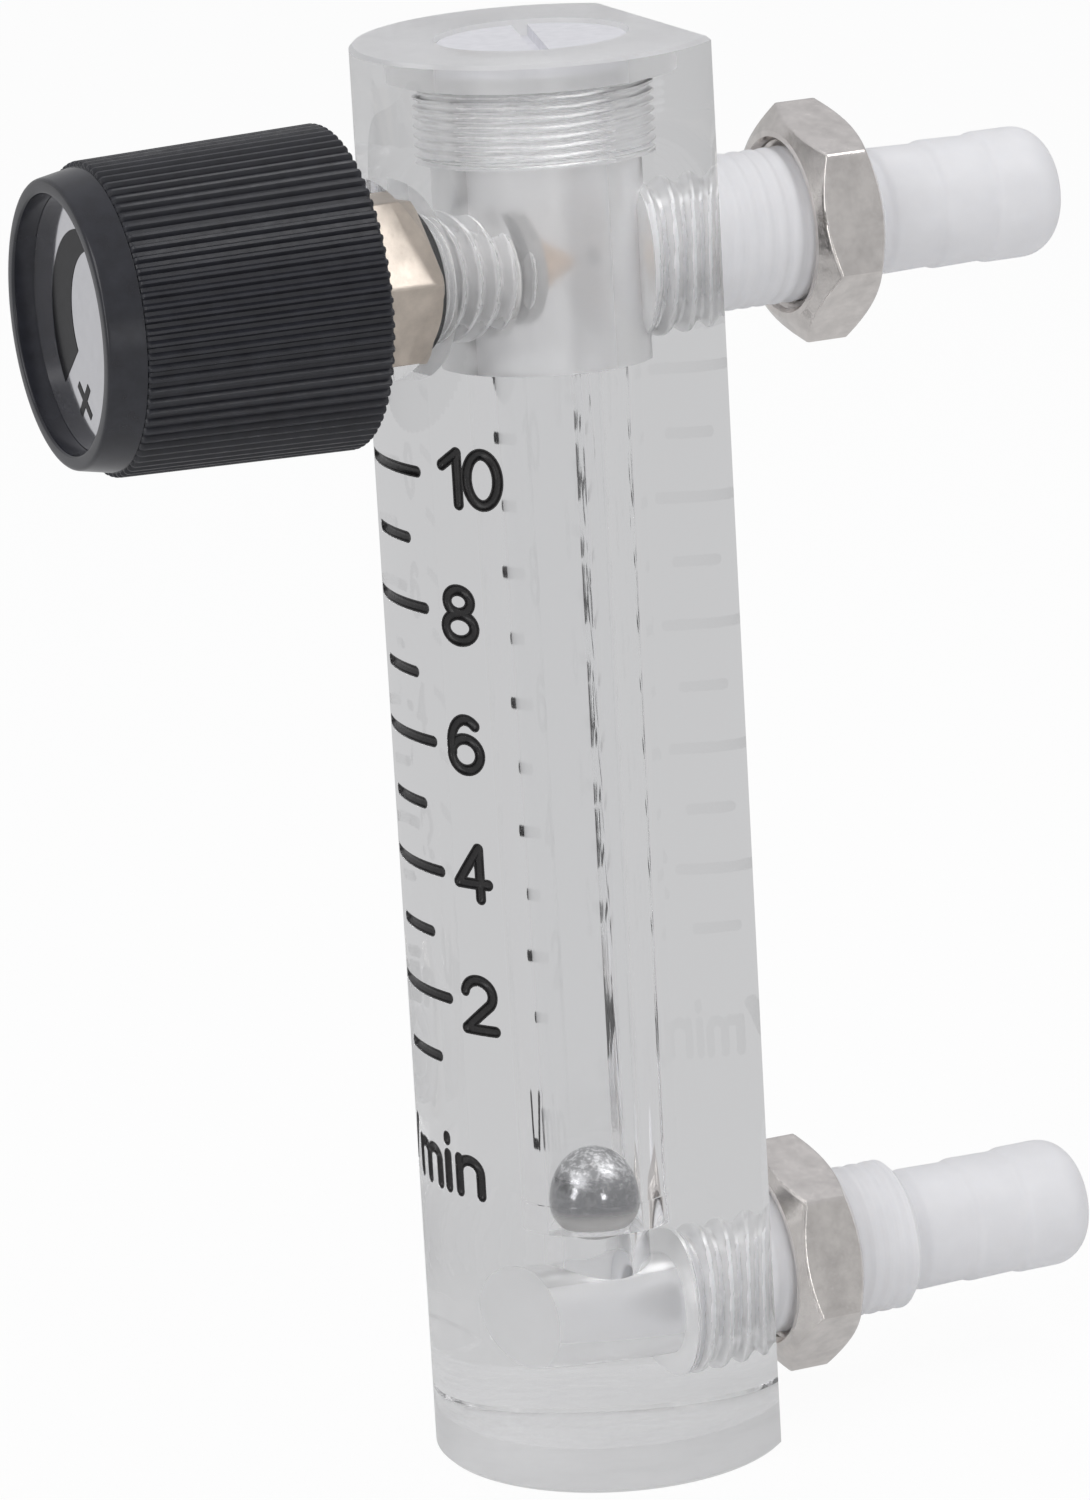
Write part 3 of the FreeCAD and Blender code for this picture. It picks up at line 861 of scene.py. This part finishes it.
def plug_piece():
    """Slotted clear plug with a thread and a frosted white head."""
    segments = 144
    head_low = plug_high.z - plug_head_thickness
    head_chamfer = 0.15
    hollow_radius = 3.0
    hollow_depth = 3.2
    rows = [
        (plug_low.z, hollow_radius),
        (plug_low.z, plug_thread_radius - plug_thread_depth - 0.1),
        *thread_rows(
            plug_low.z + 0.15, counterbore_z, plug_thread_radius - air_gap, plug_thread_depth, plug_pitch,
            segments, fade=0.3, per_turn=12,
        ),
        (head_low, plug_thread_radius - plug_thread_depth),
        (head_low, plug_head_radius),
        (plug_high.z - head_chamfer, plug_head_radius),
        (plug_high.z, plug_head_radius - head_chamfer),
    ]
    plug = turned("clear_plug", rows, along_z(bore_y), segments)
    slot_width = 1.2
    slot_depth = 0.9
    slot_turn = math.radians(-16)
    along = Vector((math.cos(slot_turn), math.sin(slot_turn)))
    side = Vector((-along.y, along.x))
    middle = Vector((0, bore_y))
    points = []
    for reach in (-plug_head_radius - 1, plug_head_radius + 1):
        for offset in (-slot_width / 2, slot_width / 2):
            place = middle + along * reach + side * offset
            for z in (plug_high.z - slot_depth, plug_high.z + 1):
                points.append((place.x, place.y, z))
    faces = [(0, 1, 3, 2), (4, 6, 7, 5), (0, 4, 5, 1), (2, 3, 7, 6), (0, 2, 6, 4), (1, 5, 7, 3)]
    slot = new_object("slot", points, faces)
    ends = [(plug_low.z - 1, hollow_radius), (plug_low.z + hollow_depth, hollow_radius)]
    hollow = turned("hollow", ends, along_z(bore_y), 96)
    carve(plug, [slot, hollow])
    give_materials(plug, plug_material())
    shade(plug, 32)
    return plug


def fitting_piece(name, node_name, z):
    """White hose fitting: threaded shank, ringed tail with a rounded nose, and a bore right through."""
    low, high = (corner.y for corner in low_high(node_name))
    segments = 144
    tail_length = 16.0
    neck_length = 1.2
    neck_radius = 4.6
    bore_radius = 2.5
    bore_break = 0.3
    nose = 2.5
    nose_steps = 12
    land_radius = 5.05
    land_length = 3.4
    ring_radii = (4.85, 4.95)
    ring_break = 0.25
    shank_end = high - tail_length
    land_start = high - nose - land_length
    ring_start = shank_end + neck_length
    pitch = (land_start - ring_start) / len(ring_radii)
    tail = [(shank_end - 0.5, shank_radius), (shank_end, shank_radius - 0.5), (shank_end, neck_radius)]
    tail.append((ring_start - ring_break, neck_radius))
    for k, radius in enumerate(ring_radii):
        edge = ring_start + k * pitch
        tail.append((edge + ring_break, radius))
        tail.append((edge + pitch - ring_break, radius - 0.1))
    tail.append((land_start + ring_break, land_radius))
    for step in range(nose_steps + 1):
        turn = math.pi / 2 * step / nose_steps
        tail.append((high - nose + nose * math.sin(turn), land_radius - nose * (1 - math.cos(turn))))
    tail += [
        (high - 0.4, bore_radius),
        (low + bore_break, bore_radius),
        (low, bore_radius + bore_break),
        (low, shank_radius - port_thread_depth - 0.1),
    ]
    rows = []
    for start, end, depth in (
        (low + 0.2, flat_y - 0.1, port_thread_depth),
        (flat_y, shank_end - 0.5, scallop_depth),
    ):
        rows += thread_rows(start, end, shank_radius, depth, port_pitch, segments, fade=0.4)
    rows += rounded(tail, 0.22, 3)
    return turned(name, rows, along_y(z), segments, white_plastic, loop=True, sharp_angle=40)


def hexagon_reach(segments, across_flats, corner_degrees):
    """Distances from the middle of a hexagon to its sides, all round, and the distance to its corners."""
    angles = np.arange(segments) * 2 * math.pi / segments
    sector = math.pi / 3
    turn = (angles - math.radians(corner_degrees)) % sector - sector / 2
    return across_flats / 2 / np.cos(turn), across_flats / math.sqrt(3)


chamfer_slope = math.tan(math.radians(30))
chamfer_reach = 1.15


def nut_piece(name, node_name, z, corner_degrees):
    """Hexagon nut with turned chamfers at both ends, rounded edges and a threaded bore."""
    low, high = low_high(node_name)
    segments = 288
    across_flats = 16.0
    end_radius = 0.9 * across_flats / 2
    reach, corner = hexagon_reach(segments, across_flats, corner_degrees)
    edge = 0.12
    depth = (corner - end_radius) * chamfer_slope * chamfer_reach
    steps = 26
    stations = [low.y + depth * k / steps for k in range(steps + 1)]
    stations.append((low.y + high.y) / 2)
    stations += [high.y - depth * (1 - k / steps) for k in range(steps + 1)]
    rows = []
    for y in stations:
        from_end = min(y - low.y, high.y - y)
        cone = end_radius + from_end / chamfer_slope
        both = np.minimum(reach, cone)
        soft = edge * np.exp(-((reach - cone) / edge) ** 2) * 0.35
        rows.append((y, both - soft))
    bore = shank_radius + air_gap
    countersink = 0.75
    rows += [
        (high.y, bore + countersink),
        *thread_rows(high.y - 0.4, low.y + 0.4, bore + 0.5, 0.5, port_pitch, segments, fade=0.3, per_turn=10),
        (low.y, bore + countersink),
    ]
    return turned(name, rows, along_y(z), segments, nickel, loop=True, sharp_angle=24)


def bonnet_piece():
    """Nickel hexagon with its threaded shank in the body."""
    segments = 216
    across_flats = 12.2
    reach, corner = hexagon_reach(segments, across_flats, 4.0)
    front_radius = 0.96 * across_flats / 2
    back_radius = 1.1 * across_flats / 2
    hex_back = -11.0
    thread_bore = 3.04
    gland = 3.35
    gland_front = bonnet_high.y - 6.0
    front_depth = (corner - front_radius) * chamfer_slope * chamfer_reach
    back_depth = (corner - back_radius) * chamfer_slope * chamfer_reach
    steps = 20
    stations = [bonnet_low.y + front_depth * k / steps for k in range(steps + 1)]
    stations += [hex_back - back_depth * (1 - k / steps) for k in range(steps + 1)]
    rows = []
    for y in stations:
        front_cone = front_radius + (y - bonnet_low.y) / chamfer_slope
        back_cone = back_radius + (hex_back - y) / chamfer_slope
        rows.append((y, np.minimum(reach, min(front_cone, back_cone))))
    rows.append((hex_back, valve_shank_radius - 0.3))
    rows += thread_rows(
        hex_back + 0.2, bonnet_high.y - 0.3, valve_shank_radius, valve_thread_depth, valve_pitch, segments,
        fade=0.5,
    )
    rows += [
        (bonnet_high.y, valve_shank_radius - valve_thread_depth),
        (bonnet_high.y, gland),
        (gland_front, gland),
        (gland_front, thread_bore),
        (bonnet_low.y, thread_bore),
    ]
    bonnet = turned("hex_bonnet", rows, along_y(outlet_z), segments, loop=True, sharp_angle=24)
    shank_start = (hex_back + 0.01) * MM
    give_materials(bonnet, hex_nickel, bright_nickel, choose=lambda middle: int(middle.y > shank_start))
    return bonnet


def ball_piece():
    steps = 64
    turns = [math.pi * k / steps for k in range(1, steps)]
    rows = [(ball_z - ball_radius * math.cos(turn), ball_radius * math.sin(turn)) for turn in turns]
    return turned("steel_ball", rows, along_z(bore_y), 96, ball_steel, sharp_angle=60)


def knob_piece():
    """Fluted grip with rounded ends, smooth bezel, dial recess and hollow back."""
    flutes = 80
    per_flute = 9
    segments = flutes * per_flute
    flute_depth = 0.34
    edge = 0.35
    wall = 2.4
    hollow_depth = 6.6
    hub_radius = 5.0
    insert_radius = 3.8
    screw_hole_radius = 3.2
    back = knob_high.y
    front = knob_low.y
    grip_front = back - 19.0
    back_radius = (knob_high.x - knob_low.x) / 2
    front_radius = back_radius - 0.5
    bezel_back_radius = front_radius - 0.4
    dial_radius = (dial_high.x - dial_low.x) / 2
    bezel_front_radius = dial_radius + 1.15
    phase = np.arange(segments) % per_flute / per_flute
    wave = np.clip((np.abs(phase - 0.5) * 2 - 0.38) / 0.34, 0, 1)
    groove = 1 - wave * wave * (3 - 2 * wave)

    def fluted(along, radius):
        return along, radius - flute_depth * groove

    rows = []
    steps = 6
    for k in range(steps + 1):
        turn = math.pi / 2 * k / steps
        rows.append(fluted(back - edge * (1 - math.cos(turn)), back_radius - edge * (1 - math.sin(turn))))
    steps = 12
    straight = back - grip_front - 2 * edge
    for k in range(1, steps + 1):
        t = k / steps
        rows.append(fluted(back - edge - straight * t, back_radius + (front_radius - back_radius) * t))
    steps = 4
    for k in range(1, steps + 1):
        turn = math.pi / 2 * k / steps
        rounding = edge * (1 - math.cos(turn))
        rows.append(fluted(grip_front + edge * (1 - math.sin(turn)), front_radius - rounding))
    smooth = [
        (grip_front, front_radius - edge),
        (grip_front, bezel_back_radius),
        (front, bezel_front_radius),
        (front, dial_radius + air_gap),
        (dial_high.y, dial_radius + air_gap),
        (dial_high.y, screw_hole_radius),
        (stem_low.y, screw_hole_radius),
        (stem_low.y, insert_radius),
        (insert_back, insert_radius),
        (insert_back, hub_radius),
        (back - hollow_depth, hub_radius),
        (back - hollow_depth, back_radius - wall),
        (back, back_radius - wall),
        (back, back_radius - 1.0),
    ]
    radii = [0.1, 0.12, 0.3, 0.22, 0.01, 0.01, 0.01, 0.01, 0.2, 0.3, 0.4, 0.3, 0.3, 0.1]
    rows += rounded(smooth, radii, 4)[1:]
    knob = turned("fluted_knob", rows, along_y(outlet_z), segments, loop=True, sharp_angle=35)
    give_materials(knob, knob_plastic, bezel_plastic, choose=lambda middle: int(middle.y < grip_front * MM))
    return knob


def dial_print():
    """Tapered crescent and plus sign on the dial, as thin printed shapes."""
    y = dial_low.y
    thick = 0.03

    def plate(name, outline):
        count = len(outline)
        points = [(x, place, outlet_z + z) for place in (y, y - thick) for x, z in outline]
        faces = [tuple(range(count)), tuple(range(2 * count - 1, count - 1, -1))] + band_faces(2, count)
        return new_object(name, points, faces, dial_ink, 30)

    outer_centre = (1.9, -0.4)
    outer_radius = 7.55
    inner_centre = (3.95, 0.5)
    inner_radius = 5.35
    steps = 48
    outer = arc(outer_centre, (outer_radius, outer_radius), 219, 22, steps)
    inner = arc(inner_centre, (inner_radius, inner_radius), 20, 211, steps)
    crescent = plate("dial_crescent", outer + inner)
    arm_half = 0.32
    arm_length = 1.58
    centre = Vector((0.1, -5.87))
    outline = []
    for arm in range(4):
        turn = math.radians(48 + 90 * arm)
        forward = Vector((math.cos(turn), math.sin(turn)))
        side = Vector((-forward.y, forward.x))
        for reach, offset in ((arm_half, -arm_half), (arm_length, -arm_half), (arm_length, arm_half)):
            outline.append(tuple(centre + forward * reach + side * offset))
    return [crescent, plate("dial_plus", outline)]


for piece, body_name, slot_name, *replaced in (
    (clear_body(), "meter", "acrylic", "meter_body"),
    (clear_plate(), "meter", "acrylic", "bottom_plate"),
    (scale_piece(), "meter", "ink", "scale_marks"),
    (plug_piece(), "meter", "plug", "top_plug"),
    (fitting_piece("outlet_tail", "outlet_fitting", outlet_z), "meter", "white_plastic", "outlet_fitting"),
    (fitting_piece("inlet_tail", "inlet_fitting", inlet_z), "meter", "white_plastic", "inlet_fitting"),
    (nut_piece("upper_nut", "outlet_nut", outlet_z, 42.0), "meter", "nickel", "outlet_nut"),
    (nut_piece("lower_nut", "inlet_nut", inlet_z, 43.5), "meter", "nickel", "inlet_nut"),
    (bonnet_piece(), "meter", "nickel", "valve_bonnet"),
    (ball_piece(), "float", "ball_steel", "float_ball"),
    (knob_piece(), "spindle", "knob_plastic", "knob"),
    *((print_piece, "spindle", "ink") for print_piece in dial_print()),
):
    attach(piece, body_name)
    if replaced:
        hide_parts(*replaced)

for node_name, node_material in (
    ("plug_seal", clear_rubber),
    ("needle_seat", white_plastic),
    ("bonnet_seal", black_rubber),
    ("stem_seal", black_rubber),
    ("valve_stem", stem_metal),
    ("knob_insert", brass),
    ("knob_screw", nickel),
    ("knob_dial", dial_face),
):
    give_materials(nodes[node_name], node_material)


# Camera, floor and light

def add_camera():
    level = math.cos(camera_elevation)
    back = Vector(
        (math.sin(camera_azimuth) * level, -math.cos(camera_azimuth) * level, math.sin(camera_elevation))
    )
    right = Vector((0, 0, 1)).cross(back).normalized()
    data = bpy.data.cameras.new("camera")
    data.lens = sensor * focal_pixels / photo_height
    data.sensor_width = sensor
    data.shift_x = (photo_width / 2 - centre_pixel[0]) / photo_height
    data.shift_y = -(photo_height / 2 - centre_pixel[1]) / photo_height
    data.clip_start = 0.01
    data.clip_end = 100
    camera = bpy.data.objects.new("camera", data)
    turn = Matrix((right, back.cross(right), back)).transposed().to_4x4()
    roll = Matrix.Rotation(camera_roll, 4, "Z")
    camera.matrix_world = Matrix.Translation(camera_position * MM) @ turn @ roll
    bpy.context.scene.collection.objects.link(camera)
    bpy.context.scene.camera = camera


floor_reach = 6000.0
floor_level = -0.05
floor_share_camera = 0.94
floor_share_glass = 0.9
floor_share_metal = 0.8
glass_background = (0.565, 0.565, 0.57)


def seen_through_glass(tree, path):
    """1 for what is seen through clear pieces, 0 for light that reaches a dull piece through them."""
    clear = compute(tree, "LESS_THAN", path.outputs["Diffuse Depth"], 0.5)
    return compute(tree, "MULTIPLY", path.outputs["Is Transmission Ray"], clear)


def add_floor():
    """Pale floor. For the camera it is nearly white and keeps a soft shadow."""
    corners = ((-1, -1), (1, -1), (1, 1), (-1, 1))
    points = [(x * floor_reach, y * floor_reach, floor_level) for x, y in corners]
    floor = new_object("floor", points, [(0, 1, 2, 3)])
    material, tree, shader = new_material(
        "floor", Base_Color=(0.86, 0.86, 0.86, 1), Roughness=0.9, Specular_IOR_Level=0.0
    )
    path = node(tree, "ShaderNodeLightPath")
    for_camera = compute(tree, "MULTIPLY", path.outputs["Is Camera Ray"], floor_share_camera)
    for_glass = compute(tree, "MULTIPLY", seen_through_glass(tree, path), floor_share_glass)
    for_metal = compute(tree, "MULTIPLY", path.outputs["Is Glossy Ray"], floor_share_metal)
    share = compute(tree, "MAXIMUM", compute(tree, "MAXIMUM", for_camera, for_glass), for_metal)
    colour = blend_colours(tree, path.outputs["Is Camera Ray"], glass_background, (1, 1, 1))
    glow = node(tree, "ShaderNodeEmission", Color=colour)
    show(tree, mix_shaders(tree, share, shader.outputs["BSDF"], glow.outputs["Emission"]))
    give_materials(floor, material)


def add_world():
    """Soft studio light. The camera sees white, clear pieces a pale background and metal a soft room."""
    world = bpy.data.worlds.new("world")
    bpy.context.scene.world = world
    world.use_nodes = True
    tree = world.node_tree
    path = node(tree, "ShaderNodeLightPath")
    rise = spread(tree, place_along(tree, "Z", "Generated"), 0, 1, -1, 1)
    ramp = node(tree, "ShaderNodeValToRGB", Fac=rise)
    stops = ramp.color_ramp.elements
    stops[0].color = (0.42, 0.41, 0.40, 1)
    stops[1].color = (0.62, 0.62, 0.64, 1)
    stops.new(0.5).color = (0.50, 0.50, 0.50, 1)
    stops.new(0.7).color = (0.54, 0.54, 0.555, 1)
    through = blend_colours(tree, seen_through_glass(tree, path), ramp.outputs["Color"], glass_background)
    seen = blend_colours(tree, path.outputs["Is Camera Ray"], through, (1, 1, 1))
    feed(tree.nodes["Background"], Color=seen, Strength=1.0)


def add_softbox(name, position, target, size, power):
    """Rectangular area light, aimed at a point. Positions are in millimetres."""
    data = bpy.data.lights.new(name, "AREA")
    data.shape = "RECTANGLE"
    data.size, data.size_y = size[0] * MM, size[1] * MM
    data.energy = power
    lamp = bpy.data.objects.new(name, data)
    turn = (Vector(target) - Vector(position)).to_track_quat("-Z", "Y")
    lamp.matrix_world = Matrix.Translation(Vector(position) * MM) @ turn.to_matrix().to_4x4()
    bpy.context.scene.collection.objects.link(lamp)


add_camera()
add_floor()
add_world()
add_softbox("key", (250, -520, 520), (0, 0, 60), (420, 420), 0.95)
add_softbox("top_light", (330, 230, 620), (0, 10, 60), (320, 320), 0.7)
add_softbox("back_light", (-140, 210, 680), (0, -20, 100), (240, 240), 0.45)
add_softbox("front_strip", (260, -530, 140), (0, 0, 30), (110, 260), 0.25)
add_softbox("window", (700, -60, 60), (0, -30, 93), (110, 200), 0.25)
scene = bpy.context.scene
scene.view_settings.view_transform = "Standard"
scene.cycles.max_bounces = 48
scene.cycles.transmission_bounces = 32
scene.cycles.glossy_bounces = 32
scene.cycles.transparent_max_bounces = 16
